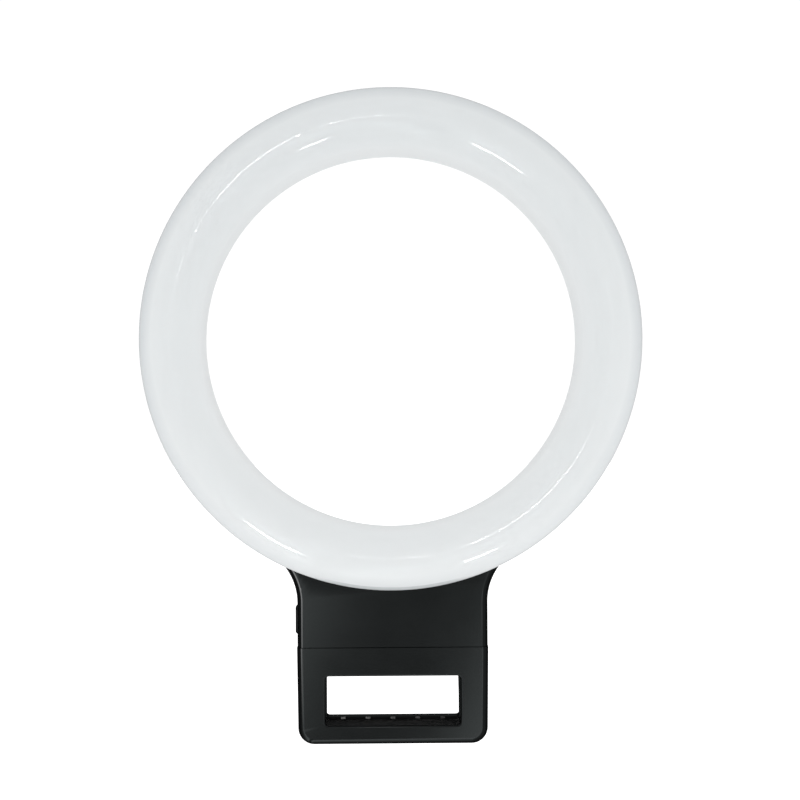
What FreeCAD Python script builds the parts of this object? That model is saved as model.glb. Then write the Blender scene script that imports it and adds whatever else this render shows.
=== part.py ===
import FreeCAD, Part
import math
import os

os.makedirs("parts", exist_ok=True)

# Frame: X to the right, Y to the back, Z up. The origin is where a phone's top edge seats: on the middle
# plane, at the rubber face of the front jaw, under the roof of the throat. Lengths are in millimetres.

# Ring
ring_outer_d = 85.0
ring_band = 10.25
ring_depth = 13.5
ring_round = 4.6
ring_wall = 1.2
ring_low_z = 10.3
ring_edge = 0.4
back_cover_t = 1.2
led_board_t = 1.0
led_board_gap = 0.4
led_count = 36
led_size = 2.8
led_t = 0.7
led_resistor_count = 12
led_resistor_size = (1.6, 0.8, 0.45)
led_resistor_ring_offset = 3.0

# Housing
cover_width = 32.7
cover_depth = 6.2
housing_depth = 12.0
housing_top = 19.0
shoulder_half = 11.5
flare_height = 7.75
flare_radius = 10.0
flare_reach = 2.1
wall = 1.3
cradle_depth = 5.4
cradle_clearance = 0.06
front_round = 1.1
rear_round = 1.0
seam_gap = 0.12

# Front jaw
jaw_depth = 6.6
jaw_step = 0.1
jaw_taper = 0.2
jaw_length = 16.55
jaw_corner = 2.8
side_bar = 4.87
low_bar = 3.25
window_top = 4.85
window_fall = 0.4
window_corner = 0.6
window_edge = 0.3
pad_t = 0.6
pad_inset = 1.2
core_wall = 1.3
core_depth = 4.0

# Rear jaw: a straight lever that leans back from its tip
lever_lean = 24.0
lever_t = 2.4
lever_length = 33.0
lever_side_step = 0.5
lever_corner = 2.6
lever_edge = 0.5
lever_window_side = 4.05
lever_window_low = 2.5
lever_window_high = 13.1
lever_window_corner = 0.8
grip_pad_t = 0.6
grip_pad_side = 2.8
grip_pad_height = 1.5
grip_pad_low = 0.4
rib_count = 5
rib_pitch = 4.4
rib_width = 0.8
rib_out = 1.0
rib_fall = 0.6
jaw_rest_gap = 0.05
thumb_ridge_count = 5
thumb_ridge_pitch = 2.0
thumb_ridge_width = 0.9
thumb_ridge_out = 0.5
thumb_ridge_side = 4.8
thumb_ridge_end = 2.6

# Hinge
hinge_wall_gap = 0.3
ear_back_gap = 0.22
pin_d = 1.6
pin_running = 0.05
pin_seat = 0.02
ear_radius = 1.95
ear_t = 1.8
ear_side = 5.55
cheek_radius = 2.1
cheek_t = 1.8
cheek_foot = 3.6
cheek_gap = 0.25
spring_wire = 0.6
spring_coil_d = 2.7
spring_turns = 6
spring_pitch = 0.66
spring_leg = 7.0
spring_touch = 0.03

# Button, switch and socket
button_height = 4.95
button_depth = 2.6
button_proud = 0.42
button_z = 4.54
button_y = -3.4
button_running = 0.08
button_corner = 0.45
button_chamfer = 0.3
button_flange = 0.6
button_flange_t = 0.7
switch_gap = 0.05
plunger_out = 0.9
plunger_width = 1.6
plunger_height = 2.4
plunger_hidden = 0.8
plunger_free = 0.5
switch_length = 3.4
switch_height = 4.4
socket_width = 7.5
socket_t = 2.5
socket_length = 5.2
socket_wall = 0.3
socket_corner = 0.5
socket_z = 5.9
socket_recess = 0.5
socket_slot_gap = 0.35
tongue_width = 5.4
tongue_t = 0.6
tongue_length = 3.4
tongue_root = 1.0

# Control board
board_t = 0.8
board_front_y = -1.9
board_low = 1.8
board_side_gap = 0.5
board_arc_gap = 0.5
board_horn = 1.0
charger_size = (4.9, 3.9, 1.4)
charger_place = (-1.0, 5.2)
charger_pins = 4
driver_size = (2.9, 1.6, 1.1)
driver_side = 9.25
driver_z = 6.6
driver_pins = 2
chip_pin_pitch = 1.27
chip_pin_width = 0.4
chip_pin_out = 0.5
chip_pin_t = 0.25
resistor_size = (1.6, 0.8, 0.5)
resistor_side = 6.85
resistor_z = 5.4
resistor_count = 3
capacitor_size = (2.0, 1.25, 0.9)
capacitor_side = 10.15
capacitor_z = 2.75
capacitor_count = 2
part_gap = 0.35
post_side = (7.65, 7.25)
post_z = 3.4
post_r = 1.3

# Battery and wires
cell_left = 2.85
cell_right = 7.85
cell_height = 12.0
cell_t = 2.9
cell_round = 1.0
cell_low = 2.3
tape_t = 0.2
tape_margin = 2.0
wire_d = 0.8
wire_bend = 1.3
led_wire_side = (5.25, 4.05)
led_wire_in = 4.2
led_wire_back = 4.4
led_wire_land = 7.9
cell_wire_z = (4.4, 5.8)
cell_wire_side = 5.65
cell_wire_y = 1.8
wire_hole_gap = 0.3
wire_slot_corner = 0.6

# Screws
screw_shank_r = 0.65
screw_head_r = 1.3
screw_head_t = 0.7
screw_head_round = 0.25
screw_tip_r = 0.26
screw_slot = 0.5
screw_slot_length = 1.7
screw_slot_depth = 0.3
screw_clearance = 0.1
thread_clearance = 0.02
ring_screw_angle = 10.0
ring_boss_r = 1.35
ring_boss_out = 2.2
case_screw_side = 1.65
case_screw_z = 15.6
case_boss_r = 1.6
case_pad_t = 0.6
case_head_t = 1.0
case_sink = 0.2
case_screw_bite = 2.6
board_screw_bite = 2.8
pilot_room = 0.3
ring_screw_room = 0.5

# Cutting shapes run this far past the face that they open
past = 1.0

# Edges are picked by their place to within this
near = 1e-4

# Places worked out from the sizes above
front_y = -(jaw_depth + pad_t)
split_y = front_y + cover_depth
jaw_back_y = front_y + jaw_depth
rear_y = front_y + housing_depth
rear_inner_y = rear_y - wall
front_inner_y = front_y + wall
ring_back_y = front_y + cradle_depth
ring_front_y = ring_back_y - ring_depth
ring_outer_r = ring_outer_d / 2
ring_inner_r = ring_outer_r - ring_band
ring_height = ring_low_z + ring_outer_r
ring_mid_r = (ring_outer_r + ring_inner_r) / 2
back_cover_y = ring_back_y - back_cover_t
led_board_front_y = back_cover_y - led_board_t
cover_half = cover_width / 2
side_inner_x = cover_half - wall
jaw_width = cover_width + 2 * jaw_step
jaw_tip_width = jaw_width - 2 * jaw_taper
window_width = jaw_width - 2 * side_bar
window_low = jaw_length - low_bar
lever_width = jaw_width - 2 * lever_side_step
grip_pad_width = lever_width - 2 * grip_pad_side
thumb_ridge_length = lever_width - 2 * thumb_ridge_side
post_x = (post_side[0] - side_inner_x, side_inner_x - post_side[1])
case_screw_x = side_inner_x - case_screw_side
led_wire_radius = ring_outer_r - led_wire_in
led_wire_x = [side_inner_x - side for side in led_wire_side]
cell_wire_x = side_inner_x - cell_wire_side
cell_low_x = cell_left - side_inner_x
cell_high_x = side_inner_x - cell_right
board_rear_y = board_front_y + board_t
lean = math.radians(lever_lean)
lever_low_z = -jaw_length + lever_t * math.sin(lean)
rib_face = grip_pad_t + rib_out
lever_low_y = jaw_rest_gap + rib_face * math.cos(lean) - grip_pad_low * math.sin(lean)
hinge_y = rear_y + hinge_wall_gap + cheek_radius
hinge_rise = ((hinge_y - lever_low_y) * math.cos(lean) + ear_radius + ear_back_gap) / math.sin(lean)
hinge_z = lever_low_z + hinge_rise
ear_inner_x = cover_half - ear_side
ear_outer_x = ear_inner_x + ear_t
cheek_inner_x = ear_outer_x + cheek_gap
cheek_outer_x = cheek_inner_x + cheek_t
pin_r = pin_d / 2
coil_r = spring_coil_d / 2
wire_r = wire_d / 2

V = FreeCAD.Vector
X_AXIS = V(1, 0, 0)
Y_AXIS = V(0, 1, 0)


def box(x0, x1, y0, y1, z0, z1):
    return Part.makeBox(x1 - x0, y1 - y0, z1 - z0, V(x0, y0, z0))


def block(centre, size):
    half = [s / 2 for s in size]
    low = [c - h for c, h in zip(centre, half)]
    return Part.makeBox(size[0], size[1], size[2], V(*low))


def rod(radius, start, end):
    way = V(*end) - V(*start)
    return Part.makeCylinder(radius, way.Length, V(*start), way)


def prism(wire, y0, y1):
    face = Part.Face(wire)
    solid = face.extrude(V(0, y1 - y0, 0))
    solid.translate(V(0, y0, 0))
    return solid


def rounded_block(x0, x1, y0, y1, z0, z1, radius, axis):
    """A block with its four edges along one axis rounded."""
    body = box(x0, x1, y0, y1, z0, z1)
    index = "xyz".index(axis)
    chosen = []
    for edge in body.Edges:
        way = edge.Vertexes[1].Point - edge.Vertexes[0].Point
        if abs(way[index]) > way.Length - near:
            chosen.append(edge)
    return body.makeFillet(radius, chosen)


def edges_at_y(shape, y):
    found = []
    for edge in shape.Edges:
        bounds = edge.BoundBox
        if abs(bounds.YMin - y) < near and abs(bounds.YMax - y) < near:
            found.append(edge)
    return found


def mirrored(shape):
    return shape.mirror(V(0, 0, 0), X_AXIS)


def around_ring(shape, degrees):
    turned = shape.copy()
    turned.rotate(V(0, 0, ring_height), Y_AXIS, degrees)
    return turned


def ring_sleeve(inner, outer, y0, y1):
    centre = V(0, y0, ring_height)
    tube = Part.makeCylinder(outer, y1 - y0, centre, Y_AXIS)
    return tube.cut(Part.makeCylinder(inner, y1 - y0, centre, Y_AXIS))


def channel_section(inset, back_y):
    """The ring's section in the XY plane: a half ellipse in front, straight skirts behind."""
    low = ring_inner_r + inset
    high = ring_outer_r - inset
    skirt = ring_front_y + ring_round
    depth = ring_round - inset
    half = (high - low) / 2
    centre = V(ring_mid_r, skirt, 0)
    front = centre + V(0, -depth, 0)
    if half > depth:
        curve = Part.Ellipse(centre + V(half, 0, 0), front, centre)
    else:
        curve = Part.Ellipse(front, centre + V(half, 0, 0), centre)
    tips = [centre + V(-half, 0, 0), front, centre + V(half, 0, 0)]
    turns = sorted(curve.parameter(tip) for tip in tips)
    arcs = [Part.ArcOfEllipse(curve, first, last) for first, last in zip(turns, turns[1:])]
    arcs = [arc for arc in arcs if arc.value((arc.FirstParameter + arc.LastParameter) / 2).y < skirt]
    corners = [tips[2], V(high, back_y, 0), V(low, back_y, 0), tips[0]]
    sides = [Part.LineSegment(a, b) for a, b in zip(corners, corners[1:])]
    edges = [curve.toShape() for curve in arcs + sides]
    return Part.Face(Part.Wire(Part.__sortEdges__(edges)))


def revolve_ring(section):
    placed = section.copy()
    placed.translate(V(0, 0, ring_height))
    turned = placed.revolve(V(0, 0, ring_height), Y_AXIS, 360)
    return turned.Solids[0] if turned.Solids else Part.Solid(turned)


def screw(radius, head_r, head_t, seat, length):
    """A pan screw with a cross slot. The seat is under its head, and its tip points to the front."""
    x, y, z = seat
    top = y + head_t
    head = rod(head_r, seat, (x, top, z))
    head = head.makeFillet(screw_head_round, edges_at_y(head, top))
    shank = rod(radius, seat, (x, y - length, z))
    tip = Part.makeCone(radius, screw_tip_r, radius, V(x, y - length, z), Y_AXIS * -1)
    body = head.fuse([shank, tip])
    for half_x, half_z in ((screw_slot_length / 2, screw_slot / 2), (screw_slot / 2, screw_slot_length / 2)):
        slot = box(x - half_x, x + half_x, top - screw_slot_depth, top + past, z - half_z, z + half_z)
        body = body.cut(slot)
    return body.removeSplitter()


def save(name, shape):
    solids = shape.Solids
    result = solids[0] if len(solids) == 1 else Part.makeCompound(solids)
    result.exportStep("parts/" + name + ".step")
    print(name, len(solids), round(shape.Volume, 2), shape.isValid())
    return result


def point(x, z):
    return V(x, 0, z)


def polar(centre, radius, angle):
    return V(centre.x + radius * math.cos(angle), 0, centre.z + radius * math.sin(angle))


def arc_about(centre, radius, start, end):
    middle = (start + end) / 2
    ends = [polar(centre, radius, angle) for angle in (start, middle, end)]
    return Part.Arc(*ends).toShape()


def circles_meet(first, first_r, second, second_r):
    """The upper of the two points where two circles in the XZ plane cross."""
    way = second - first
    span = way.Length
    along = (first_r ** 2 - second_r ** 2 + span ** 2) / (2 * span)
    across = math.sqrt(first_r ** 2 - along ** 2)
    foot = first + way * (along / span)
    side = V(-way.z, 0, way.x) * (across / span)
    return max(foot + side, foot - side, key=lambda p: p.z)


def housing_outline(inset, low_z):
    """Straight sides, a concave flare up to each horn, and a round shoulder behind the ring."""
    horn_cos = 1 - flare_reach / flare_radius
    horn = point(cover_half + flare_reach, flare_height + flare_radius * math.sqrt(1 - horn_cos ** 2))
    run = horn.x - shoulder_half
    rise = housing_top - horn.z
    shoulder_r = (run ** 2 + rise ** 2) / (2 * rise)
    flare_centre = point(cover_half + flare_radius, flare_height)
    shoulder_centre = point(shoulder_half, housing_top - shoulder_r)
    horn = circles_meet(flare_centre, flare_radius + inset, shoulder_centre, shoulder_r - inset)
    to_horn = horn - flare_centre
    horn_turn = math.atan2(to_horn.z, to_horn.x)
    from_shoulder = horn - shoulder_centre
    shoulder_turn = math.atan2(from_shoulder.z, from_shoulder.x)
    half = cover_half - inset
    flare = arc_about(flare_centre, flare_radius + inset, math.pi, horn_turn)
    shoulder = arc_about(shoulder_centre, shoulder_r - inset, shoulder_turn, math.pi / 2)
    side = Part.LineSegment(point(half, low_z), point(half, flare_height)).toShape()
    right = [side, flare, shoulder]
    left = [mirrored(edge) for edge in right]
    floor = Part.LineSegment(point(-half, low_z), point(half, low_z)).toShape()
    top = Part.LineSegment(point(-shoulder_half, housing_top - inset),
                           point(shoulder_half, housing_top - inset)).toShape()
    return Part.Wire(Part.__sortEdges__(right + left + [floor, top]))


def jaw_block(inset, corner, y0, y1):
    """Straight sides that draw in slightly towards the tip, with round lower corners."""
    top_half = jaw_width / 2 - inset
    tip_half = jaw_tip_width / 2 - inset
    low = inset - jaw_length
    corners = [point(-top_half, -inset), point(top_half, -inset), point(tip_half, low), point(-tip_half, low)]
    edges = [Part.LineSegment(a, b).toShape() for a, b in zip(corners, corners[1:] + corners[:1])]
    block = prism(Part.Wire(edges), y0, y1)
    low_corners = [edge for edge in block.Edges
                   if edge.BoundBox.ZMax < low + near and edge.BoundBox.YLength > near]
    return block.makeFillet(corner, low_corners)


def window_wire(y):
    """The window's outline at one depth: its sill falls a little towards the throat."""
    half = window_width / 2
    low = -window_low - window_fall * (y - front_y) / -front_y
    slab = rounded_block(-half, half, y, y + past, low, -window_top, window_corner, "y")
    face = [side for side in slab.Faces if side.BoundBox.YMax < y + near][0]
    return face.OuterWire


def window_block():
    return Part.makeLoft([window_wire(front_y - past), window_wire(past)], True, True)


def screw_places(x, z):
    return [(-x, z), (x, z)]


def ring_screw_places():
    turn = math.radians(ring_screw_angle)
    x = ring_mid_r * math.sin(turn)
    z = ring_height - ring_mid_r * math.cos(turn)
    return screw_places(x, z)


def led_wire_places():
    return [(x, ring_height - math.sqrt(led_wire_radius ** 2 - x ** 2)) for x in led_wire_x]


def wire_slot(y0, y1):
    places = led_wire_places()
    xs = [x for x, z in places]
    zs = [z for x, z in places]
    r = wire_r + wire_hole_gap
    return rounded_block(min(xs) - r, max(xs) + r, y0, y1, min(zs) - r, max(zs) + r,
                         wire_slot_corner, "y")


def build_ring_diffuser():
    outer = revolve_ring(channel_section(0, ring_back_y))
    hollow = revolve_ring(channel_section(ring_wall, ring_back_y + past))
    shell = outer.cut(hollow)
    rims = [edge for edge in edges_at_y(shell, ring_back_y)
            if abs(edge.Curve.Radius - ring_outer_r) < near or abs(edge.Curve.Radius - ring_inner_r) < near]
    return shell.makeFillet(ring_edge, rims)


def build_ring_back_cover():
    fit = ring_wall + cradle_clearance
    plate = ring_sleeve(ring_inner_r + fit, ring_outer_r - fit, back_cover_y, ring_back_y)
    for x, z in ring_screw_places():
        boss = rod(ring_boss_r, (x, back_cover_y + back_cover_t / 2, z), (x, back_cover_y - ring_boss_out, z))
        plate = plate.fuse(boss)
    for x, z in ring_screw_places():
        pilot = rod(screw_shank_r + thread_clearance, (x, ring_back_y + past, z),
                    (x, back_cover_y - ring_boss_out - past, z))
        plate = plate.cut(pilot)
    return plate.cut(wire_slot(back_cover_y - past, ring_back_y + past)).removeSplitter()


def build_led_board():
    fit = ring_wall + led_board_gap
    board = ring_sleeve(ring_inner_r + fit, ring_outer_r - fit, led_board_front_y, back_cover_y)
    for x, z in ring_screw_places():
        hole = rod(ring_boss_r + screw_clearance, (x, back_cover_y + past, z), (x, led_board_front_y - past, z))
        board = board.cut(hole)
    return board


def build_leds():
    step = 360 / led_count
    chips = []
    for index in range(led_count):
        low_z = ring_height - ring_mid_r
        chip = block((0, led_board_front_y - led_t / 2, low_z), (led_size, led_t, led_size))
        chips.append(around_ring(chip, step * (index + 0.5)))
    return Part.makeCompound(chips)


def build_led_resistors():
    step = 360 / led_resistor_count
    length, width, height = led_resistor_size
    low_z = ring_height - ring_mid_r + led_resistor_ring_offset
    parts = []
    for index in range(led_resistor_count):
        chip = block((0, led_board_front_y - height / 2, low_z), (length, height, width))
        parts.append(around_ring(chip, step * index))
    return Part.makeCompound(parts)


def build_ring_screws():
    length = split_y - (back_cover_y - ring_boss_out) - screw_shank_r - ring_screw_room
    screws = [screw(screw_shank_r, screw_head_r, screw_head_t, (x, split_y, z), length)
              for x, z in ring_screw_places()]
    return Part.makeCompound(screws)


def side_front_edges(body, low_z):
    """Front edges of the housing and jaw, without the straight one along the seam."""
    chosen = []
    for edge in edges_at_y(body, front_y):
        bounds = edge.BoundBox
        if abs(bounds.ZMin - low_z) < near and bounds.ZLength < near:
            continue
        chosen.append(edge)
    return chosen


def build_front_cover():
    body = prism(housing_outline(0, seam_gap), front_y, split_y)
    body = body.makeFillet(front_round, side_front_edges(body, seam_gap))
    pocket_r = ring_outer_r + cradle_clearance
    centre = V(0, front_y - past, ring_height)
    pocket = Part.makeCylinder(pocket_r, ring_back_y + cradle_clearance - front_y + past, centre, Y_AXIS)
    cavity = prism(housing_outline(wall, -wall), front_inner_y, split_y + past)
    saddle = Part.makeCylinder(pocket_r + wall, housing_depth, centre, Y_AXIS)
    cavity = cavity.cut(saddle)
    body = body.cut(pocket).cut(cavity)
    boss_end = rear_inner_y - case_pad_t
    for x in post_x:
        body = body.fuse(rod(post_r, (x, front_inner_y - wall / 2, post_z), (x, board_front_y, post_z)))
    for x, z in screw_places(case_screw_x, case_screw_z):
        body = body.fuse(rod(case_boss_r, (x, split_y - wall / 2, z), (x, boss_end, z)))
    pilot = screw_shank_r + thread_clearance
    for x in post_x:
        body = body.cut(rod(pilot, (x, board_front_y - board_screw_bite - pilot_room, post_z),
                            (x, board_front_y + past, post_z)))
    for x, z in screw_places(case_screw_x, case_screw_z):
        pilot_end = boss_end - case_screw_bite - screw_shank_r - pilot_room
        body = body.cut(rod(pilot, (x, pilot_end, z), (x, boss_end + past, z)))
    for x, z in ring_screw_places():
        hole = rod(screw_shank_r + screw_clearance, (x, ring_back_y - past, z), (x, split_y + past, z))
        body = body.cut(hole)
    body = body.cut(wire_slot(ring_back_y - past, split_y + past))
    body = body.cut(button_slot()).cut(socket_slot())
    return body.removeSplitter()


def button_slot():
    half_y = button_depth / 2 + button_running
    half_z = button_height / 2 + button_running
    return rounded_block(-cover_half - past, -side_inner_x + past, button_y - half_y, button_y + half_y,
                         button_z - half_z, button_z + half_z, button_corner + button_running, "x")


def socket_slot():
    half_z = socket_width / 2 + socket_slot_gap
    front = board_front_y - socket_t - socket_slot_gap
    return rounded_block(side_inner_x - past, cover_half + past, front, board_front_y + socket_slot_gap,
                         socket_z - half_z, socket_z + half_z,
                         socket_corner + socket_slot_gap, "x")


def ear(x0, x1):
    root = box(x0, x1, rear_inner_y + wall / 2, hinge_y, hinge_z - ear_radius, hinge_z + ear_radius)
    return root.fuse(rod(ear_radius, (x0, hinge_y, hinge_z), (x1, hinge_y, hinge_z)))


def build_main_body():
    tray = prism(housing_outline(0, 0), split_y, rear_y)
    tray = tray.makeFillet(rear_round, edges_at_y(tray, rear_y))
    tray = tray.cut(prism(housing_outline(wall, wall), split_y - past, rear_inner_y))
    for x, z in screw_places(case_screw_x, case_screw_z):
        pad = rod(case_boss_r, (x, rear_inner_y - case_pad_t, z), (x, rear_inner_y + wall / 2, z))
        tray = tray.fuse(pad)
    for x, z in screw_places(case_screw_x, case_screw_z):
        seat = rear_y - case_head_t - case_sink
        tray = tray.cut(rod(screw_head_r + screw_clearance, (x, seat, z), (x, rear_y + past, z)))
        tray = tray.cut(rod(screw_shank_r + screw_clearance, (x, split_y, z), (x, rear_y, z)))
    jaw = jaw_block(0, jaw_corner, front_y, jaw_back_y)
    jaw = jaw.makeFillet(front_round, side_front_edges(jaw, 0))
    jaw = jaw.cut(window_block())
    rim = [edge for edge in edges_at_y(jaw, front_y)
           if edge.BoundBox.XMax < window_width / 2 + near and edge.BoundBox.XMin > -window_width / 2 - near
           and edge.BoundBox.ZMin > -window_low - near and edge.BoundBox.ZMax < -window_top + near]
    jaw = jaw.makeFillet(window_edge, rim)
    jaw = jaw.cut(core_pockets())
    lip_x = side_inner_x - cradle_clearance
    lip = box(-lip_x, lip_x, front_inner_y + cradle_clearance, split_y, -wall / 2, wall)
    body = tray.fuse([jaw, lip])
    for x0, x1 in ((ear_inner_x, ear_outer_x), (-ear_outer_x, -ear_inner_x)):
        body = body.fuse(ear(x0, x1))
    body = body.cut(rod(pin_r + pin_seat, (-ear_outer_x - past, hinge_y, hinge_z),
                        (ear_outer_x + past, hinge_y, hinge_z)))
    return body.removeSplitter()


def core_pockets():
    """Cores in the back of the front jaw, hidden under its rubber face."""
    deep = jaw_back_y - core_depth
    window_half = window_width / 2
    side_in = window_half + core_wall
    side_out = jaw_tip_width / 2 - core_wall
    right = box(side_in, side_out, deep, jaw_back_y + past, -window_low, -window_top)
    top = box(-window_half, window_half, deep, jaw_back_y + past, -window_top + core_wall, -core_wall)
    return Part.makeCompound([right, mirrored(right), top])


def build_front_jaw_pad():
    face = jaw_block(pad_inset, jaw_corner - pad_inset, jaw_back_y, 0)
    return face.cut(window_block())


def lever_local(y, z):
    """A place in the frame as height along the lever and depth behind its front face."""
    dy = y - lever_low_y
    dz = z - lever_low_z
    return dy * math.cos(lean) - dz * math.sin(lean), dy * math.sin(lean) + dz * math.cos(lean)


def set_in_lever(shape):
    placed = shape.copy()
    placed.rotate(V(0, 0, 0), X_AXIS, -lever_lean)
    placed.translate(V(0, lever_low_y, lever_low_z))
    return placed


def cheek(x0, x1):
    depth, height = lever_local(hinge_y, hinge_z)
    corners = [(depth, height - cheek_radius), (lever_t / 2, height - cheek_foot),
               (lever_t / 2, height + cheek_foot), (depth, height + cheek_radius)]
    points = [V(x0, y, z) for y, z in corners]
    edges = [Part.LineSegment(a, b).toShape() for a, b in zip(points, points[1:] + points[:1])]
    web = Part.Face(Part.Wire(edges)).extrude(V(x1 - x0, 0, 0))
    return web.fuse(rod(cheek_radius, (x0, depth, height), (x1, depth, height)))


def build_rear_jaw():
    half = lever_width / 2
    plate = rounded_block(-half, half, 0, lever_t, 0, lever_length, lever_corner, "y")
    plate = plate.makeFillet(lever_edge, edges_at_y(plate, lever_t) + edges_at_y(plate, 0))
    window_half = half - lever_window_side
    plate = plate.cut(rounded_block(-window_half, window_half, -past, lever_t + past, lever_window_low,
                                    lever_window_high, lever_window_corner, "y"))
    for x0, x1 in ((cheek_inner_x, cheek_outer_x), (-cheek_outer_x, -cheek_inner_x)):
        plate = plate.fuse(cheek(x0, x1))
    depth, height = lever_local(hinge_y, hinge_z)
    plate = plate.cut(rod(pin_r + pin_running, (-half - past, depth, height), (half + past, depth, height)))
    ridge_r = thumb_ridge_width / 2
    ridge_y = lever_t + thumb_ridge_out - ridge_r
    for index in range(thumb_ridge_count):
        z = lever_length - thumb_ridge_end - thumb_ridge_pitch * index
        ridge = rod(ridge_r, (-thumb_ridge_length / 2, ridge_y, z), (thumb_ridge_length / 2, ridge_y, z))
        plate = plate.fuse(ridge)
    return set_in_lever(plate.removeSplitter())


def rib(x, high):
    """One grip rib, whose top falls to the front."""
    root = -grip_pad_t / 2
    corners = [V(x, root, grip_pad_low), V(x, -rib_face, grip_pad_low), V(x, -rib_face, high - rib_fall),
               V(x, -grip_pad_t, high), V(x, root, high)]
    edges = [Part.LineSegment(a, b).toShape() for a, b in zip(corners, corners[1:] + corners[:1])]
    return Part.Face(Part.Wire(edges)).extrude(V(rib_width, 0, 0))


def build_rear_jaw_pad():
    half = grip_pad_width / 2
    high = grip_pad_low + grip_pad_height
    pad = box(-half, half, -grip_pad_t, 0, grip_pad_low, high)
    for index in range(rib_count):
        x = (index - (rib_count - 1) / 2) * rib_pitch
        pad = pad.fuse(rib(x - rib_width / 2, high))
    return set_in_lever(pad.removeSplitter())


def build_hinge_pin():
    return rod(pin_r, (-cheek_outer_x, hinge_y, hinge_z), (cheek_outer_x, hinge_y, hinge_z))


def build_torsion_spring():
    """A coil on the hinge pin with one leg on the housing's back and one on the lever."""
    radius = spring_wire / 2
    rise = spring_pitch / (2 * math.pi * coil_r)
    wall_reach = hinge_y - rear_y - radius - spring_touch
    wall_turn = leg_turn(wall_reach)
    depth = lever_local(hinge_y, hinge_z)[0]
    lever_turn = lean + leg_turn(-depth - radius - spring_touch)
    start = math.pi + wall_turn
    end = 2 * math.pi * spring_turns - lever_turn
    turns = (end - start) / (2 * math.pi)
    coil_half = spring_pitch * turns / 2
    helix = Part.makeHelix(spring_pitch, spring_pitch * turns, coil_r)
    to_frame = FreeCAD.Matrix(0, 0, 1, 0, 1, 0, 0, 0, 0, 1, 0, 0, 0, 0, 0, 1)
    helix = helix.transformGeometry(to_frame)
    helix.rotate(V(0, 0, 0), X_AXIS, math.degrees(start))
    helix.translate(V(-coil_half, hinge_y, hinge_z))

    def place(angle, x):
        return V(x, hinge_y + coil_r * math.cos(angle), hinge_z + coil_r * math.sin(angle))

    def heading(angle):
        way = V(rise, -math.sin(angle), math.cos(angle))
        return way.normalize()

    first = place(start, -coil_half)
    last = place(end, coil_half)
    profile = Part.Wire(Part.makeCircle(radius, first, heading(start)))
    coil = Part.Wire(helix.Edges).makePipeShell([profile], True, True)
    wall_leg = Part.makeCylinder(radius, spring_leg, first, heading(start) * -1)
    lever_leg = Part.makeCylinder(radius, spring_leg, last, heading(end))
    return coil.fuse([wall_leg, lever_leg])


def leg_turn(reach):
    """The lean of a leg that leaves the coil tangentially and ends at the given distance from the axis."""
    return math.atan2(spring_leg, coil_r) - math.acos(reach / math.hypot(coil_r, spring_leg))


def build_power_button():
    half_y = button_depth / 2
    half_z = button_height / 2
    outer = -cover_half - button_proud
    flange_x = -side_inner_x + switch_gap
    inner = flange_x + button_flange_t
    cap = rounded_block(outer, inner, button_y - half_y, button_y + half_y,
                        button_z - half_z, button_z + half_z, button_corner, "x")
    rim = [edge for edge in cap.Edges if edge.BoundBox.XMax < outer + near]
    cap = cap.makeChamfer(button_chamfer, rim)
    flange = box(flange_x, inner, button_y - half_y, button_y + half_y,
                 button_z - half_z - button_flange, button_z + half_z + button_flange)
    return cap.fuse(flange).removeSplitter()


def plunger_end_x():
    return -side_inner_x + button_flange_t + 2 * switch_gap


def build_switch_plunger():
    end = plunger_end_x()
    half = plunger_width / 2
    half_z = plunger_height / 2
    return box(end, end + plunger_out + plunger_hidden, button_y - half, button_y + half,
               button_z - half_z, button_z + half_z)


def build_switch_body():
    start = plunger_end_x() + plunger_out
    half_z = switch_height / 2
    reach = board_front_y - button_y
    body = box(start, start + switch_length, button_y - reach, board_front_y,
               button_z - half_z, button_z + half_z)
    fit_y = plunger_width / 2 + pin_running
    fit_z = plunger_height / 2 + pin_running
    pocket = box(start - past, start + plunger_hidden + plunger_free, button_y - fit_y, button_y + fit_y,
                 button_z - fit_z, button_z + fit_z)
    return body.cut(pocket)


def build_usb_socket_shell():
    x1 = cover_half - socket_recess
    x0 = x1 - socket_length
    half = socket_width / 2
    y0 = board_front_y - socket_t
    shell = rounded_block(x0, x1, y0, board_front_y, socket_z - half, socket_z + half, socket_corner, "x")
    w = socket_wall
    hollow = rounded_block(x0 + w, x1 + past, y0 + w, board_front_y - w,
                           socket_z - half + w, socket_z + half - w,
                           socket_corner - w, "x")
    return shell.cut(hollow)


def build_usb_socket_tongue():
    x0 = cover_half - socket_recess - socket_length + socket_wall
    half = tongue_width / 2
    y = board_front_y - socket_t / 2
    root = box(x0, x0 + tongue_root, y - tongue_t, y + tongue_t, socket_z - half, socket_z + half)
    blade = box(x0, x0 + tongue_root + tongue_length, y - tongue_t / 2, y + tongue_t / 2,
                socket_z - half, socket_z + half)
    return root.fuse(blade).removeSplitter()


def build_control_board():
    half = side_inner_x - board_side_gap
    plate = box(-half, half, board_front_y, board_rear_y, board_low, flare_height + board_horn)
    saddle_r = ring_outer_r + cradle_clearance + wall + board_arc_gap
    saddle = Part.makeCylinder(saddle_r, board_t + 2 * past, V(0, board_front_y - past, ring_height), Y_AXIS)
    plate = plate.cut(saddle)
    for x in post_x:
        plate = plate.cut(rod(screw_shank_r + screw_clearance, (x, board_front_y - past, post_z),
                              (x, board_rear_y + past, post_z)))
    return plate.removeSplitter()


def on_board(place, size):
    x, z = place
    width, height, thick = size
    return block((x, board_front_y - thick / 2, z), (width, thick, height))


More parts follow.
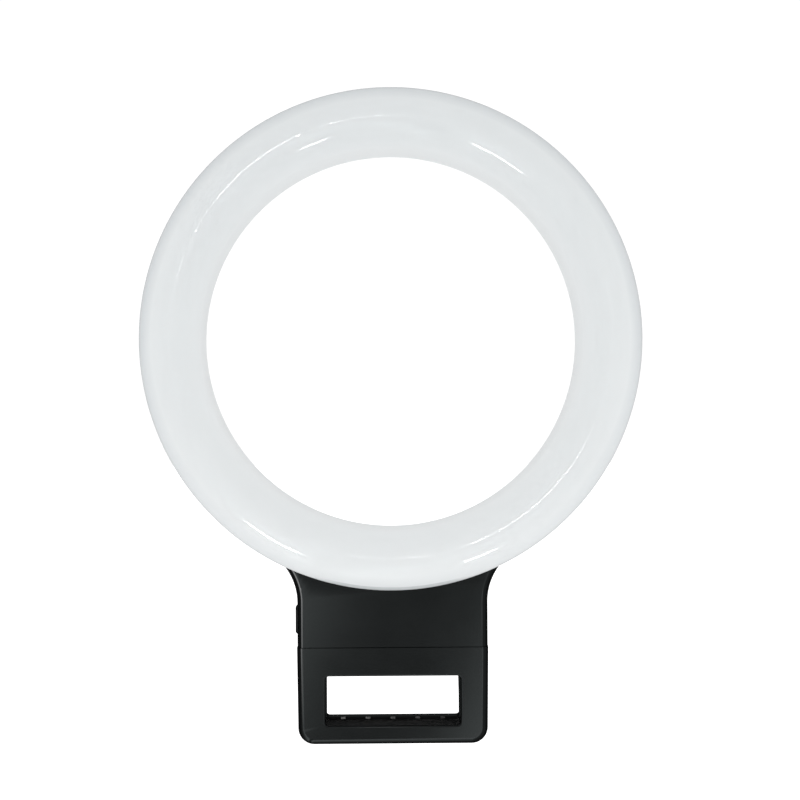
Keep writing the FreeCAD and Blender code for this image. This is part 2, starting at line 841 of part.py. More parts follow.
def chip_with_pins(place, size, pins):
    x, z = place
    width, height, thick = size
    chip = on_board(place, size)
    for index in range(pins):
        pin_x = x + (index - (pins - 1) / 2) * chip_pin_pitch
        pin = box(pin_x - chip_pin_width / 2, pin_x + chip_pin_width / 2, board_front_y - chip_pin_t,
                  board_front_y, z - height / 2 - chip_pin_out, z + height / 2 + chip_pin_out)
        chip = chip.fuse(pin)
    return chip.removeSplitter()


def part_stack(x, z, count, size):
    """Equal parts one above another, each lying across the board."""
    pitch = size[1] + part_gap
    return Part.makeCompound([on_board((x, z + index * pitch), size) for index in range(count)])


def build_board_screws():
    length = board_t + board_screw_bite - screw_shank_r
    screws = [screw(screw_shank_r, screw_head_r, screw_head_t, (x, board_rear_y, post_z), length)
              for x in post_x]
    return Part.makeCompound(screws)


def build_battery_cell():
    y1 = rear_inner_y - tape_t
    return rounded_block(cell_low_x, cell_high_x, y1 - cell_t, y1, cell_low, cell_low + cell_height,
                         cell_round, "x")


def build_battery_tape():
    return box(cell_low_x + tape_margin, cell_high_x - tape_margin, rear_inner_y - tape_t, rear_inner_y,
               cell_low + tape_margin, cell_low + cell_height - tape_margin)


def bent_wire(corners):
    """A round wire along straight runs joined by tangent arcs."""
    points = [V(*corner) for corner in corners]
    edges = []
    start = points[0]
    for before, corner, after in zip(points, points[1:], points[2:]):
        back = (before - corner).normalize()
        ahead = (after - corner).normalize()
        half_turn = (math.pi - back.getAngle(ahead)) / 2
        trim = wire_bend * math.tan(half_turn)
        arc_start = corner + back * trim
        arc_end = corner + ahead * trim
        middle_way = (back + ahead).normalize()
        middle = corner + middle_way * (wire_bend / math.cos(half_turn) - wire_bend)
        edges.append(Part.LineSegment(start, arc_start).toShape())
        edges.append(Part.Arc(arc_start, middle, arc_end).toShape())
        start = arc_end
    edges.append(Part.LineSegment(start, points[-1]).toShape())
    path = Part.Wire(edges)
    profile = Part.Wire(Part.makeCircle(wire_r, points[0], points[1] - points[0]))
    return path.makePipeShell([profile], True, False)


def build_led_wire(index):
    x, z = led_wire_places()[index]
    return bent_wire([(x, back_cover_y, z), (x, back_cover_y + led_wire_back, z),
                      (x, back_cover_y + led_wire_back, led_wire_land), (x, board_rear_y, led_wire_land)])


def build_battery_wire(index):
    z = cell_wire_z[index]
    return bent_wire([(cell_high_x, cell_wire_y, z), (cell_wire_x, cell_wire_y, z),
                      (cell_wire_x, board_rear_y, z)])


def build_housing_screws():
    length = case_pad_t + wall - case_head_t - case_sink + case_screw_bite
    seat = rear_y - case_head_t - case_sink
    screws = [screw(screw_shank_r, screw_head_r, case_head_t, (x, seat, z), length)
              for x, z in screw_places(case_screw_x, case_screw_z)]
    return Part.makeCompound(screws)


save("ring_diffuser", build_ring_diffuser())
save("ring_back_cover", build_ring_back_cover())
save("led_board", build_led_board())
save("leds", build_leds())
save("led_resistors", build_led_resistors())
save("ring_screws", build_ring_screws())
save("front_cover", build_front_cover())
save("main_body", build_main_body())
save("front_jaw_pad", build_front_jaw_pad())
save("rear_jaw", build_rear_jaw())
save("rear_jaw_pad", build_rear_jaw_pad())
save("hinge_pin", build_hinge_pin())
save("torsion_spring", build_torsion_spring())
save("power_button", build_power_button())
save("switch_plunger", build_switch_plunger())
save("switch_body", build_switch_body())
save("usb_socket_shell", build_usb_socket_shell())
save("usb_socket_tongue", build_usb_socket_tongue())
save("control_board", build_control_board())
save("charger_chip", chip_with_pins(charger_place, charger_size, charger_pins))
save("driver_chip", chip_with_pins((side_inner_x - driver_side, driver_z), driver_size, driver_pins))
save("board_resistors", part_stack(resistor_side - side_inner_x, resistor_z, resistor_count, resistor_size))
save("board_capacitors", part_stack(side_inner_x - capacitor_side, capacitor_z, capacitor_count, capacitor_size))
save("board_screws", build_board_screws())
save("battery_cell", build_battery_cell())
save("battery_tape", build_battery_tape())
save("led_wire_red", build_led_wire(0))
save("led_wire_black", build_led_wire(1))
save("battery_wire_red", build_battery_wire(0))
save("battery_wire_black", build_battery_wire(1))
save("housing_screws", build_housing_screws())
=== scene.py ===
import bmesh
import bpy
import math
from mathutils import Matrix, Vector


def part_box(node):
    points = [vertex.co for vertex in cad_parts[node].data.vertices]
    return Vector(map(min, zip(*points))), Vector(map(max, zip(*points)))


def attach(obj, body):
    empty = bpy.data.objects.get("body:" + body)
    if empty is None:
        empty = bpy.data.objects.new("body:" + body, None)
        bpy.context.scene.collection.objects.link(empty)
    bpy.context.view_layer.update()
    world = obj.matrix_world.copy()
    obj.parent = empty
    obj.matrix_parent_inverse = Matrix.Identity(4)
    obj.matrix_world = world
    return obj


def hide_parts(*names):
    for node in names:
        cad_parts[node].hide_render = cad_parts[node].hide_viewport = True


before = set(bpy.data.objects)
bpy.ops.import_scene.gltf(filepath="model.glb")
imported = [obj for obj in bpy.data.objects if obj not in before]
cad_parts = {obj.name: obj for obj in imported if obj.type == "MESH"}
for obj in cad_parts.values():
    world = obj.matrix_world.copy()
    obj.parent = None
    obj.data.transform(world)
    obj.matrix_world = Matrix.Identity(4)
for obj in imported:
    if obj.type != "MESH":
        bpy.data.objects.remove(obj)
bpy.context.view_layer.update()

mm = 0.001

# Studio: the ring light stands free over a white paper floor, in even light from all round.
# A small lamp above the camera and two low panels draw the thin highlights on the ring.
scene = bpy.context.scene
scene.view_settings.view_transform = "Standard"
view_place = Vector((-0.88, -245.1, 39.8)) * mm
view_pitch = math.radians(0.632)
view_yaw = math.radians(-0.57)
view_roll = math.radians(-0.33)
view_focal_px = 1387.5
photo_px = 800

camera = bpy.data.cameras.new("photo_camera")
camera.sensor_width = 36
camera.lens = view_focal_px * camera.sensor_width / photo_px
camera.clip_start = 0.01
camera_object = bpy.data.objects.new("photo_camera", camera)
scene.collection.objects.link(camera_object)
aim = Matrix.Rotation(view_yaw, 4, "Z") @ Matrix.Rotation(math.pi / 2 + view_pitch, 4, "X")
camera_object.matrix_world = Matrix.Translation(view_place) @ aim @ Matrix.Rotation(view_roll, 4, "Z")
scene.camera = camera_object

floor_z = -75 * mm
floor_half = 3.0
sheet = bmesh.new()
bmesh.ops.create_grid(sheet, x_segments=1, y_segments=1, size=floor_half)
bmesh.ops.translate(sheet, verts=sheet.verts, vec=(0, 0, floor_z))
floor_mesh = bpy.data.meshes.new("paper_floor")
sheet.to_mesh(floor_mesh)
sheet.free()
paper = bpy.data.materials.new("white_paper")
paper.use_nodes = True
paper_shader = paper.node_tree.nodes["Principled BSDF"]
paper_shader.inputs["Base Color"].default_value = (0.92, 0.92, 0.92, 1)
paper_shader.inputs["Roughness"].default_value = 0.9
paper_shader.inputs["Specular IOR Level"].default_value = 0.0
paper_shader.inputs["Emission Color"].default_value = (1, 1, 1, 1)
paper_shader.inputs["Emission Strength"].default_value = 0.6
floor_mesh.materials.append(paper)
floor = bpy.data.objects.new("paper_floor", floor_mesh)
scene.collection.objects.link(floor)
floor.visible_diffuse = False
floor.visible_glossy = False
floor.visible_transmission = False
floor.visible_shadow = False

middle = Vector((0, -10, 45)) * mm


def strip_light(name, start, end, width, brightness):
    """A lamp from start to end, in millimetres, turned to the middle of the object.

    Brightness is its own luminance. It makes highlights only.
    """
    start, end = Vector(start) * mm, Vector(end) * mm
    lamp = bpy.data.lights.new(name, "AREA")
    lamp.shape = "RECTANGLE"
    lamp.size = (end - start).length
    lamp.size_y = width * mm
    lamp.energy = brightness * math.pi * lamp.size * lamp.size_y
    along = (end - start).normalized()
    back = ((start + end) / 2 - middle).normalized()
    up = back.cross(along).normalized()
    turn = Matrix((along, up, along.cross(up))).transposed().to_4x4()
    holder = bpy.data.objects.new(name, lamp)
    scene.collection.objects.link(holder)
    holder.matrix_world = Matrix.Translation((start + end) / 2) @ turn
    holder.visible_camera = False
    holder.visible_diffuse = False
    return holder


strip_light("lamp_above_camera", (-14, -815, 111), (-4, -815, 118), 26, 60)
low_panels = [strip_light("panel_low_right", (275, -815, -725), (385, -815, -675), 110, 40),
              strip_light("panel_low_left", (-436, -815, -438), (-284, -815, -552), 100, 48)]


class Signal:
    """A value in a node tree. Sums written on it become Math nodes."""

    def __init__(self, graph, socket):
        self.graph = graph
        self.socket = socket

    def _sum(self, operation, *terms):
        return self.graph.node("ShaderNodeMath", {"operation": operation}, dict(enumerate(terms)))

    def __add__(self, other):
        return self._sum("ADD", self, other)

    def __radd__(self, other):
        return self._sum("ADD", other, self)

    def __sub__(self, other):
        return self._sum("SUBTRACT", self, other)

    def __rsub__(self, other):
        return self._sum("SUBTRACT", other, self)

    def __mul__(self, other):
        return self._sum("MULTIPLY", self, other)

    def __rmul__(self, other):
        return self._sum("MULTIPLY", other, self)

    def __pow__(self, other):
        return self._sum("POWER", self, other)


class Graph:
    """A node tree, filled by one method that makes and links a node."""

    def __init__(self, owner):
        owner.use_nodes = True
        self.tree = owner.node_tree
        self.tree.nodes.clear()

    def node(self, kind, settings=None, sockets=None, out=0):
        made = self.tree.nodes.new(kind)
        for key, value in (settings or {}).items():
            if key == "stops":
                self._set_stops(made.color_ramp, value)
            else:
                setattr(made, key, value)
        for key, value in (sockets or {}).items():
            if isinstance(value, Signal):
                self.tree.links.new(value.socket, made.inputs[key])
            else:
                made.inputs[key].default_value = value
        return Signal(self, made.outputs[out]) if made.outputs else None

    def _set_stops(self, ramp, stops):
        while len(ramp.elements) < len(stops):
            ramp.elements.new(1.0)
        for element, (place, level) in zip(ramp.elements, stops):
            element.position = place
            element.color = (level, level, level, 1)

    def between(self, signal, low, high, start=0.0, end=1.0):
        """Goes from low to high while the signal goes from start to end, and stays level outside."""
        sockets = {"Value": signal, "From Min": start, "From Max": end, "To Min": low, "To Max": high}
        return self.node("ShaderNodeMapRange", {}, sockets)

    def ramp(self, signal, *stops):
        return self.node("ShaderNodeValToRGB", {"stops": stops}, {"Fac": signal})


world = bpy.data.worlds.new("white_studio")
scene.world = world
world.cycles.sampling_method = "NONE"
sky = Graph(world)
way = sky.node("ShaderNodeTexCoord", out="Generated")
axes = sky.node("ShaderNodeSeparateXYZ", {}, {0: way})
across, ahead, upward = (Signal(sky, socket) for socket in axes.socket.node.outputs)

# Even light all round, a little stronger from below. The shine shows a dark gap between two tall lamps
# that lean to the left, and a darker room behind.
soft_even, soft_fall_up, soft_fall_ahead = 0.97, 0.10, 0.12
lean_across, lean_up = -0.93, 0.37
gap_middle = -0.063
shine_plain = 0.35
lamp_top_start, lamp_top_end = -0.108, -0.092
shine_tint = (0.9, 1, 1, 1)
white_light = (1, 1, 1, 1)
wall_brightness = 1.05
soft_level = soft_even - soft_fall_up * upward - soft_fall_ahead * ahead
lean = lean_across * across + lean_up * upward - gap_middle
gap = sky.ramp(lean * 0.5 + 0.5, (0.30, 0.25), (0.40, 1.0), (0.45, 2.4), (0.4605, 1.7), (0.467, 0.66),
               (0.4705, 0.28), (0.474, 0.20), (0.4815, 0.19), (0.5, 0.26), (0.5175, 0.25), (0.5220, 0.27),
               (0.5270, 0.80), (0.5320, 1.30), (0.5387, 1.8), (0.5550, 2.2), (0.60, 1.3), (0.68, 0.4),
               (0.83, 0.14), (0.92, 0.10))
room = sky.ramp(ahead * 0.5 + 0.5, (0.0, 1.0), (0.25, 1.0), (0.42, 0.22), (0.7, 0.05), (1.0, 0.02))
low_part = sky.between(upward, 1.0, 0.0, lamp_top_start, lamp_top_end)
shine_level = (low_part * (gap - shine_plain) + shine_plain) * room
rays = sky.node("ShaderNodeLightPath").socket.node.outputs
soft = sky.node("ShaderNodeBackground", {}, {"Color": white_light, "Strength": soft_level})
shine = sky.node("ShaderNodeBackground", {}, {"Color": shine_tint, "Strength": shine_level})
seen = sky.node("ShaderNodeBackground", {}, {"Color": white_light, "Strength": wall_brightness})
lit = sky.node("ShaderNodeMixShader", {}, {0: Signal(sky, rays["Is Glossy Ray"]), 1: soft, 2: shine})
whole = sky.node("ShaderNodeMixShader", {}, {0: Signal(sky, rays["Is Camera Ray"]), 1: lit, 2: seen})
sky.node("ShaderNodeOutputWorld", {}, {"Surface": whole})


# Ring front: one milky acrylic moulding, a channel with a rounded front and straight skirts, open behind.
# It is polished, so it shows the lamps as thin bright lines, and light that enters it spreads inside.
class Finish(Graph):
    """A surface finish: a Principled shader and the nodes that vary it over the piece."""

    def __init__(self, name, **constants):
        self.material = bpy.data.materials.new(name)
        super().__init__(self.material)
        surface = self.node("ShaderNodeBsdfPrincipled")
        self.shader = surface.socket.node
        self.node("ShaderNodeOutputMaterial", {}, {"Surface": surface})
        for socket, value in constants.items():
            self.shader.inputs[socket.replace("_", " ")].default_value = value

    def noise(self, size, detail=3, roughness=0.5, stretch=(1, 1, 1)):
        """Cloudy variation whose blobs are about size across, in metres."""
        place = self.node("ShaderNodeTexCoord", out="Object")
        spread = self.node("ShaderNodeMapping", {}, {"Vector": place, "Scale": stretch})
        return self.node("ShaderNodeTexNoise", {}, {"Vector": spread, "Scale": 1 / size, "Detail": detail,
                                                    "Roughness": roughness})

    def blend(self, factor, first, second):
        sockets = {"Factor": factor, 6: first, 7: second}
        return self.node("ShaderNodeMix", {"data_type": "RGBA"}, sockets, out=2)

    def along(self, axis):
        """The place on the object along one axis, in metres."""
        place = self.node("ShaderNodeTexCoord", out="Object")
        return self.node("ShaderNodeSeparateXYZ", {}, {0: place}, out="XYZ".index(axis))

    def feed(self, socket, signal):
        self.tree.links.new(signal.socket, self.shader.inputs[socket])

    def bump(self, height, depth, strength=1.0):
        normal = self.node("ShaderNodeBump", {}, {"Height": height, "Distance": depth, "Strength": strength})
        self.feed("Normal", normal)


def new_piece(name, shape, finish, body, slot, *stands_for):
    """Turns a finished bmesh into a piece that rides on a body in place of CAD nodes."""
    mesh = bpy.data.meshes.new(name)
    shape.to_mesh(mesh)
    shape.free()
    piece = bpy.data.objects.new(name, mesh)
    scene.collection.objects.link(piece)
    mesh.materials.append(finish.material)
    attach(piece, body)
    if stands_for:
        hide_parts(*stands_for)
    return piece


def smooth(piece, degrees=30):
    for face in piece.data.polygons:
        face.use_smooth = True
    piece.data.set_sharp_from_angle(angle=math.radians(degrees))


ring_low, ring_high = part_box("ring_diffuser")
ring_outer = (ring_high.x - ring_low.x) / 2
ring_centre = Vector((0, 0, (ring_low.z + ring_high.z) / 2))
ring_band = 10.25 * mm
ring_inner = ring_outer - ring_band
ring_middle = ring_outer - ring_band / 2
ring_front = ring_low.y
ring_back = ring_high.y
ring_round = 4.6 * mm
ring_wall = 1.2 * mm
ring_rim = 0.4 * mm
round_steps = 24
rim_steps = 4
ring_turns = 256
same_corner = 1e-7


def channel_points(inset):
    """The front round of the channel's section, from the inner skirt to the outer one."""
    half = ring_band / 2 - inset
    depth = ring_round - inset
    turns = [math.pi * step / round_steps for step in range(round_steps + 1)]
    return [Vector((ring_middle - half * math.cos(turn), ring_front + ring_round - depth * math.sin(turn), 0))
            for turn in turns]


def rim_points(corner, along, across):
    """A rounded corner of the rim. along and across point from the corner into the two faces."""
    centre = corner + (along + across) * ring_rim
    turns = [math.pi / 2 * step / rim_steps for step in range(rim_steps + 1)]
    return [centre - across * ring_rim * math.cos(turn) - along * ring_rim * math.sin(turn)
            for turn in turns]


def spin_ring(section):
    """Turns a closed section once round the ring's axis."""
    shape = bmesh.new()
    corners = [shape.verts.new(point + ring_centre) for point in section]
    edges = [shape.edges.new(pair) for pair in zip(corners, corners[1:] + corners[:1])]
    bmesh.ops.spin(shape, geom=corners + edges, cent=ring_centre, axis=(0, 1, 0), angle=2 * math.pi,
                   steps=ring_turns, use_merge=True)
    bmesh.ops.remove_doubles(shape, verts=shape.verts, dist=same_corner)
    bmesh.ops.recalc_face_normals(shape, faces=shape.faces)
    return shape


forward = Vector((0, -1, 0))
outward = Vector((1, 0, 0))
outer_round = channel_points(0)
inner_round = channel_points(ring_wall)
high_rim = rim_points(Vector((ring_outer, ring_back, 0)), forward, -outward)
low_rim = rim_points(Vector((ring_inner, ring_back, 0)), forward, outward)
section = outer_round + high_rim
section += [Vector((ring_outer - ring_wall, ring_back, 0))] + inner_round[::-1]
section += [Vector((ring_inner + ring_wall, ring_back, 0))] + low_rim[::-1]

# Painted shade darkens the outer edge, most at the top and least at the bottom. The top half is painted
# darker and the bottom half lighter, painted light as if from below, and a thin painted shadow lies just
# above the cradle.
milk_dull, milk_clear = (0.775, 0.805, 0.815, 1), (0.80, 0.83, 0.84, 1)
# Painted shade on the top half and painted light on the bottom half.
painted_top_shade_tone, painted_top_shade_share = (0.70, 0.725, 0.735, 1), 0.5
painted_low_light_tone, painted_low_light_share = (0.835, 0.865, 0.875, 1), 0.6
# Painted shade at the outer edge.
painted_edge_shade_tone, painted_edge_shade_low_share = (0.60, 0.63, 0.65, 1), 0.3
# Painted shadow just above the cradle.
painted_cradle_shadow_tone = (0.57, 0.60, 0.61, 1)
edge_start, edge_end = ring_outer - 2.6 * mm, ring_outer - 0.2 * mm
shade_start, shade_end = ring_outer - 0.85 * mm, ring_outer - 0.7 * mm
shade_low, shade_high = -0.965 * ring_outer, -0.94 * ring_outer
polish_start, polish_end = ring_inner + 0.8 * mm, ring_inner + 3 * mm
polish_least, polish_most = 0.05, 0.5

milk = Finish("milky_acrylic", IOR=1.49, Specular_IOR_Level=0.0, Coat_Roughness=0.06,
              Subsurface_Weight=1.0, Subsurface_Scale=0.002, Subsurface_Radius=(1.0, 1.0, 1.0))
milk_cloud = milk.noise(14 * mm, detail=2)
milk_grain = milk.noise(0.9 * mm, detail=4)
milk_x, milk_z = milk.along("X"), milk.along("Z") - ring_centre.z
milk_radius = (milk_x * milk_x + milk_z * milk_z) ** 0.5
# Painted shade at the outer edge, less towards the bottom.
painted_edge_shade = milk.between(milk_radius, 0.0, 1.0, edge_start, edge_end)
painted_edge_shade = painted_edge_shade * milk.between(milk_z, painted_edge_shade_low_share, 1.0, -ring_outer, 0.0)
# Painted shadow in a thin band just above the cradle.
painted_cradle_shadow = milk.between(milk_radius, 0.0, 1.0, shade_start, shade_end)
painted_cradle_shadow = painted_cradle_shadow * milk.between(milk_z, 1.0, 0.0, shade_low, shade_high)
# Painted shade grows towards the top and painted light grows towards the bottom.
painted_top_shade = milk.between(milk_z, 0.0, painted_top_shade_share, 0.0, ring_outer)
painted_low_light = milk.between(milk_z, painted_low_light_share, 0.0, -ring_outer, 0.0)
milk_tone = milk.blend(milk_cloud, milk_dull, milk_clear)
milk_tone = milk.blend(painted_top_shade, milk_tone, painted_top_shade_tone)
milk_tone = milk.blend(painted_low_light, milk_tone, painted_low_light_tone)
milk_tone = milk.blend(painted_edge_shade, milk_tone, painted_edge_shade_tone)
milk.feed("Base Color", milk.blend(painted_cradle_shadow, milk_tone, painted_cradle_shadow_tone))
milk.feed("Roughness", milk.between(milk_grain, 0.26, 0.34))
milk_polish = milk.between(milk_radius, polish_least, polish_most, polish_start, polish_end)
milk.feed("Coat Weight", milk_polish)
milk.bump(milk_cloud, 0.003 * mm, 0.3)
ring_front_piece = new_piece("ring_front", spin_ring(section), milk, "housing", "milk_plastic",
                             "ring_diffuser")
smooth(ring_front_piece, 40)
ring_only = bpy.data.collections.new("lit_by_low_panels")
ring_only.objects.link(ring_front_piece)
for panel in low_panels:
    panel.light_linking.receiver_collection = ring_only


# Ring back: a flat white annular plate pressed between the skirts, a hair inside their rims.
# A plainer white plastic than the front, half gloss, with a fine moulded grain.
plate_t = 1.2 * mm
plate_gap = 0.06 * mm
plate_fit = ring_wall + plate_gap
plate_front = ring_back - plate_t
plate_chamfer = 0.15 * mm
plate_outer = ring_outer - plate_fit
plate_inner = ring_inner + plate_fit
plate_section = [Vector((plate_inner, plate_front, 0)), Vector((plate_outer, plate_front, 0)),
                 Vector((plate_outer, ring_back - plate_chamfer, 0)),
                 Vector((plate_outer - plate_chamfer, ring_back, 0)),
                 Vector((plate_inner + plate_chamfer, ring_back, 0)),
                 Vector((plate_inner, ring_back - plate_chamfer, 0))]
white = Finish("white_moulding", Roughness=0.38, IOR=1.5)
white_cloud = white.noise(10 * mm, detail=3)
white_grain = white.noise(0.35 * mm, detail=5)
white.feed("Base Color", white.blend(white_cloud, (0.76, 0.79, 0.79, 1), (0.82, 0.84, 0.83, 1)))
white.feed("Roughness", white.between(white_grain, 0.30, 0.48))
white.bump(white_grain, 0.012 * mm, 0.6)
ring_back_piece = new_piece("ring_back", spin_ring(plate_section), white, "housing", "white_plastic",
                            "ring_back_cover")
smooth(ring_back_piece)


# Housing: satin black mouldings, a front cover and the body whose lower half is the front jaw.
# Their outsides carry the fine even spark texture of the mould. A painted highlight runs along the left front
# edge, and painted light makes the sill of the window greyer than the rest.
same_point = 2e-6
same_plane = math.radians(0.3)


def dressed(node, finish, body, slot):
    """A copy of a node with its faces merged, smooth where it is round, for the finish to sit on."""
    shape = bmesh.new()
    shape.from_mesh(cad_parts[node].data)
    bmesh.ops.remove_doubles(shape, verts=shape.verts, dist=same_point)
    bmesh.ops.dissolve_limit(shape, angle_limit=same_plane, verts=shape.verts, edges=shape.edges)
    piece = new_piece(node + "_skin", shape, finish, body, slot, node)
    smooth(piece)
    level = piece.modifiers.new("flat_faces_stay_flat", "WEIGHTED_NORMAL")
    level.weight = 100
    level.keep_sharp = True
    return piece


edge_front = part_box("front_cover")[0].y
edge_depth = 0.1 * mm
dark_share = 0.85
# Painted highlight along the left front edge: its tone and where it lies.
painted_highlight_tone = (0.8, 0.8, 0.8, 1)
highlight_side_start, highlight_side_end = -14 * mm, -11 * mm
highlight_low, highlight_high, highlight_share = -15 * mm, 14 * mm, 0.32
# Painted light on the window sill: a lighter grey than the black.
painted_sill_light_tone = (0.04, 0.04, 0.04, 1)
sill_low, sill_high, sill_fade = -13.8 * mm, -13.2 * mm, 0.05 * mm
sill_front_start, sill_front_end = edge_front + 0.3 * mm, edge_front + 0.5 * mm
sill_back_start, sill_back_end = -0.1 * mm, 0.0
sill_half, sill_half_end = 11.8 * mm, 12.0 * mm


def black_moulding(name, tone, gloss):
    """A satin black, with a painted highlight on its left front edge and painted light on its sill, both
    found from the place on the body.
    """
    black = Finish(name, IOR=1.5, Specular_IOR_Level=0.4)
    spark = black.noise(0.09 * mm, detail=2, roughness=0.6)
    sweep = black.noise(6 * mm, detail=3)
    darker = tuple(value * dark_share for value in tone) + (1,)
    plain = black.blend(sweep, darker, tone + (1,))
    side, depth, height = (black.along(axis) for axis in "XYZ")
    # Painted light on the window sill, masked by height, depth and width.
    painted_sill_light = black.between(height, 0.0, 1.0, sill_low - sill_fade, sill_low)
    painted_sill_light = painted_sill_light * black.between(height, 1.0, 0.0, sill_high, sill_high + sill_fade)
    painted_sill_light = painted_sill_light * black.between(depth, 0.0, 1.0, sill_front_start, sill_front_end)
    painted_sill_light = painted_sill_light * black.between(depth, 1.0, 0.0, sill_back_start, sill_back_end)
    painted_sill_light = painted_sill_light * black.between(side * side, 1.0, 0.0, sill_half ** 2, sill_half_end ** 2)
    plain = black.blend(painted_sill_light, plain, painted_sill_light_tone)
    # Painted highlight: a thin line just behind the front face, on the left side only, strongest at the top.
    painted_edge_highlight = black.ramp(black.between(depth, 0.0, 1.0, edge_front, edge_front + edge_depth),
                        (0.0, 0.0), (0.08, 0.0), (0.22, 1.0), (0.5, 0.8), (0.8, 0.0))
    painted_edge_highlight = painted_edge_highlight * black.between(side, 1.0, 0.0, highlight_side_start, highlight_side_end)
    painted_edge_highlight = painted_edge_highlight * black.between(height, 0.0, highlight_share, highlight_low, highlight_high)
    black.feed("Base Color", black.blend(painted_edge_highlight, plain, painted_highlight_tone))
    black.feed("Roughness", black.between(sweep, gloss - 0.02, gloss + 0.03))
    black.bump(spark, 0.0015 * mm, 0.5)
    return black


body_black = black_moulding("satin_black", (0.0040, 0.0044, 0.0045), 0.12)
button_black = black_moulding("button_black", (0.006, 0.0065, 0.0066), 0.2)
dressed("front_cover", body_black, "housing", "black_plastic")
dressed("main_body", body_black, "housing", "black_plastic")
dressed("power_button", button_black, "button", "button_plastic")
dressed("rear_jaw", body_black, "lever", "black_plastic")


# Grip faces: soft black rubber, a flat frame on the front jaw and a ribbed strip on the rear one.
# Matt, with the fine tooth of moulded rubber. The tips of the ribs carry painted light, pale and strongest at
# the left.
# Painted light on the rib tips.
painted_rib_light_tone = (0.85, 0.85, 0.84, 1)
rib_light_low, rib_light_high = -13.74 * mm, -13.70 * mm
rib_light_front, rib_light_back = 0.20 * mm, 0.30 * mm
rib_light_left, rib_light_right = -9 * mm, 9 * mm
rib_light_left_share, rib_light_right_share = 0.45, 0.12
rib_lean = math.radians(24)
rib_start, rib_end = -6.92 * mm, -6.85 * mm

rubber = Finish("grip_rubber", Roughness=0.7, IOR=1.5, Specular_IOR_Level=0.2)
rubber_tooth = rubber.noise(0.16 * mm, detail=4, roughness=0.7)
rubber_tone = rubber.blend(rubber_tooth, (0.006, 0.006, 0.006, 1), (0.011, 0.011, 0.011, 1))
rubber_depth, rubber_height = rubber.along("Y"), rubber.along("Z")
rib_out = math.sin(rib_lean) * rubber_height - math.cos(rib_lean) * rubber_depth
# Painted light on the rib tips, stronger at the left.
painted_rib_light = rubber.between(rubber.along("X"), rib_light_left_share, rib_light_right_share, rib_light_left, rib_light_right)
painted_rib_light = painted_rib_light * rubber.between(rubber_height, 0.0, 1.0, rib_light_low, rib_light_high)
painted_rib_light = painted_rib_light * rubber.between(rubber_depth, 0.0, 1.0, rib_light_front, rib_light_back)
painted_rib_light = painted_rib_light * rubber.between(rib_out, 0.0, 1.0, rib_start, rib_end)
rubber.feed("Base Color", rubber.blend(painted_rib_light, rubber_tone, painted_rib_light_tone))
rubber.feed("Roughness", rubber.between(rubber_tooth, 0.6, 0.85))
rubber.bump(rubber_tooth, 0.02 * mm, 0.7)
dressed("front_jaw_pad", rubber, "housing", "black_rubber")
dressed("rear_jaw_pad", rubber, "lever", "black_rubber")


# Steel: the ground hinge pin, the drawn spring wire, the plated screws and the socket's folded shell.
# Each is bright with fine lines along the way it was worked.
line_size = 0.25 * mm
line_share = 0.8


def steel(name, tone, rough, stretch):
    metal = Finish(name, Metallic=1.0)
    lines = metal.noise(line_size, detail=4, roughness=0.6, stretch=stretch)
    darker = tuple(value * line_share for value in tone) + (1,)
    metal.feed("Base Color", metal.blend(lines, darker, tone + (1,)))
    metal.feed("Roughness", metal.between(lines, rough - 0.06, rough + 0.1))
    metal.bump(lines, 0.004 * mm, 0.5)
    return metal


def coat(node, finish):
    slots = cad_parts[node].data.materials
    slots.clear()
    slots.append(finish.material)


pin_steel = steel("ground_steel", (0.55, 0.55, 0.56), 0.25, (0.2, 4, 4))
spring_steel = steel("drawn_wire", (0.42, 0.42, 0.43), 0.28, (1, 1, 1))
screw_steel = steel("plated_steel", (0.46, 0.46, 0.47), 0.3, (1, 1, 1))
socket_steel = steel("tinned_sheet", (0.62, 0.62, 0.62), 0.27, (3, 1, 1))
coat("hinge_pin", pin_steel)
coat("torsion_spring", spring_steel)
coat("ring_screws", screw_steel)
coat("board_screws", screw_steel)
coat("housing_screws", screw_steel)
coat("usb_socket_shell", socket_steel)


# Electronics inside: the white lamp board with its chips, the green control board, the cell and its wires.
# Nothing of them shows from outside but the socket's tongue and the plunger behind the button.
def plain_finish(name, low, high, size, rough):
    finish = Finish(name)
    cloud = finish.noise(size, detail=3)
    finish.feed("Base Color", finish.blend(cloud, low + (1,), high + (1,)))
    finish.feed("Roughness", finish.between(cloud, rough - 0.05, rough + 0.07))
    finish.bump(cloud, 0.004 * mm, 0.5)
    return finish


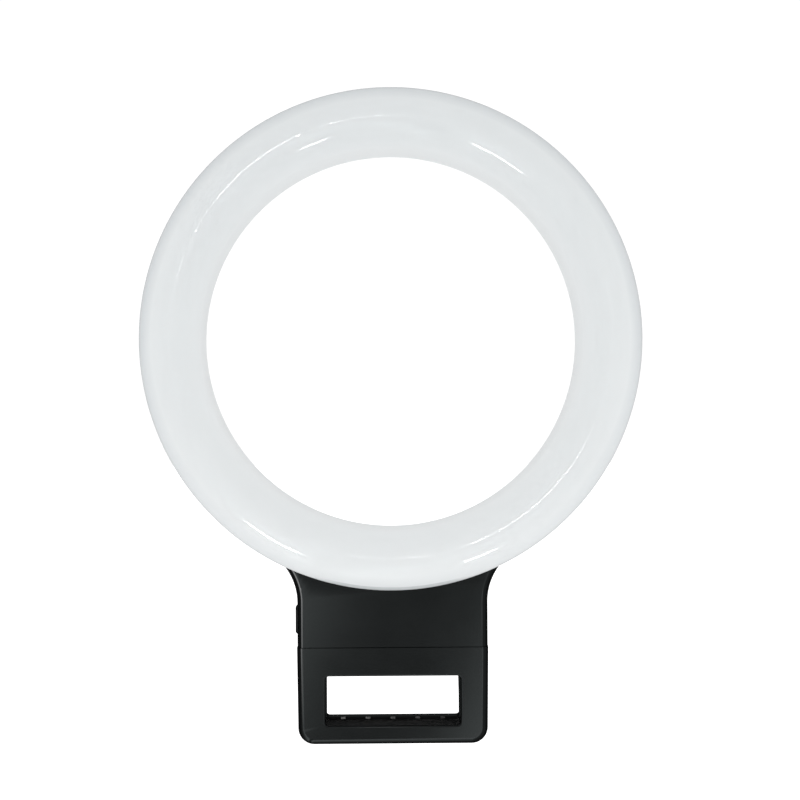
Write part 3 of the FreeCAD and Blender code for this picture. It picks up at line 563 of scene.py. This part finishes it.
# Each row: the piece, its finish, the darkest and the lightest tone, the size of its clouds, its roughness.
inside = (
    ("led_board", "white_mask", (0.72, 0.73, 0.71), (0.80, 0.81, 0.79), 1.5 * mm, 0.45),
    ("leds", "phosphor", (0.80, 0.66, 0.20), (0.88, 0.76, 0.32), 0.5 * mm, 0.35),
    ("led_resistors", "resistor_body", (0.02, 0.02, 0.02), (0.05, 0.05, 0.05), 0.2 * mm, 0.5),
    ("control_board", "green_mask", (0.012, 0.12, 0.05), (0.02, 0.18, 0.08), 0.8 * mm, 0.35),
    ("charger_chip", "chip_epoxy", (0.02, 0.02, 0.02), (0.04, 0.04, 0.04), 0.2 * mm, 0.55),
    ("driver_chip", "small_chip_epoxy", (0.02, 0.02, 0.02), (0.04, 0.04, 0.04), 0.2 * mm, 0.55),
    ("board_resistors", "small_resistors", (0.02, 0.02, 0.02), (0.05, 0.05, 0.05), 0.2 * mm, 0.5),
    ("board_capacitors", "ceramic", (0.36, 0.25, 0.14), (0.48, 0.35, 0.21), 0.4 * mm, 0.5),
    ("battery_cell", "cell_foil", (0.60, 0.61, 0.63), (0.72, 0.73, 0.75), 1.2 * mm, 0.3),
    ("battery_tape", "foam_tape", (0.78, 0.78, 0.74), (0.88, 0.88, 0.85), 0.5 * mm, 0.8),
    ("led_wire_red", "red_insulation", (0.38, 0.015, 0.015), (0.5, 0.03, 0.03), 0.6 * mm, 0.45),
    ("led_wire_black", "black_insulation", (0.012, 0.012, 0.012), (0.025, 0.025, 0.025), 0.6 * mm, 0.45),
    ("battery_wire_red", "cell_red", (0.38, 0.015, 0.015), (0.5, 0.03, 0.03), 0.6 * mm, 0.45),
    ("battery_wire_black", "cell_black", (0.012, 0.012, 0.012), (0.025, 0.025, 0.025), 0.6 * mm, 0.45),
    ("switch_body", "switch_case", (0.04, 0.04, 0.04), (0.07, 0.07, 0.07), 0.3 * mm, 0.5),
    ("switch_plunger", "plunger", (0.05, 0.05, 0.05), (0.08, 0.08, 0.08), 0.3 * mm, 0.45),
    ("usb_socket_tongue", "tongue", (0.03, 0.03, 0.03), (0.06, 0.06, 0.06), 0.3 * mm, 0.45),
)
for node, name, low, high, size, rough in inside:
    coat(node, plain_finish(name, low, high, size, rough))
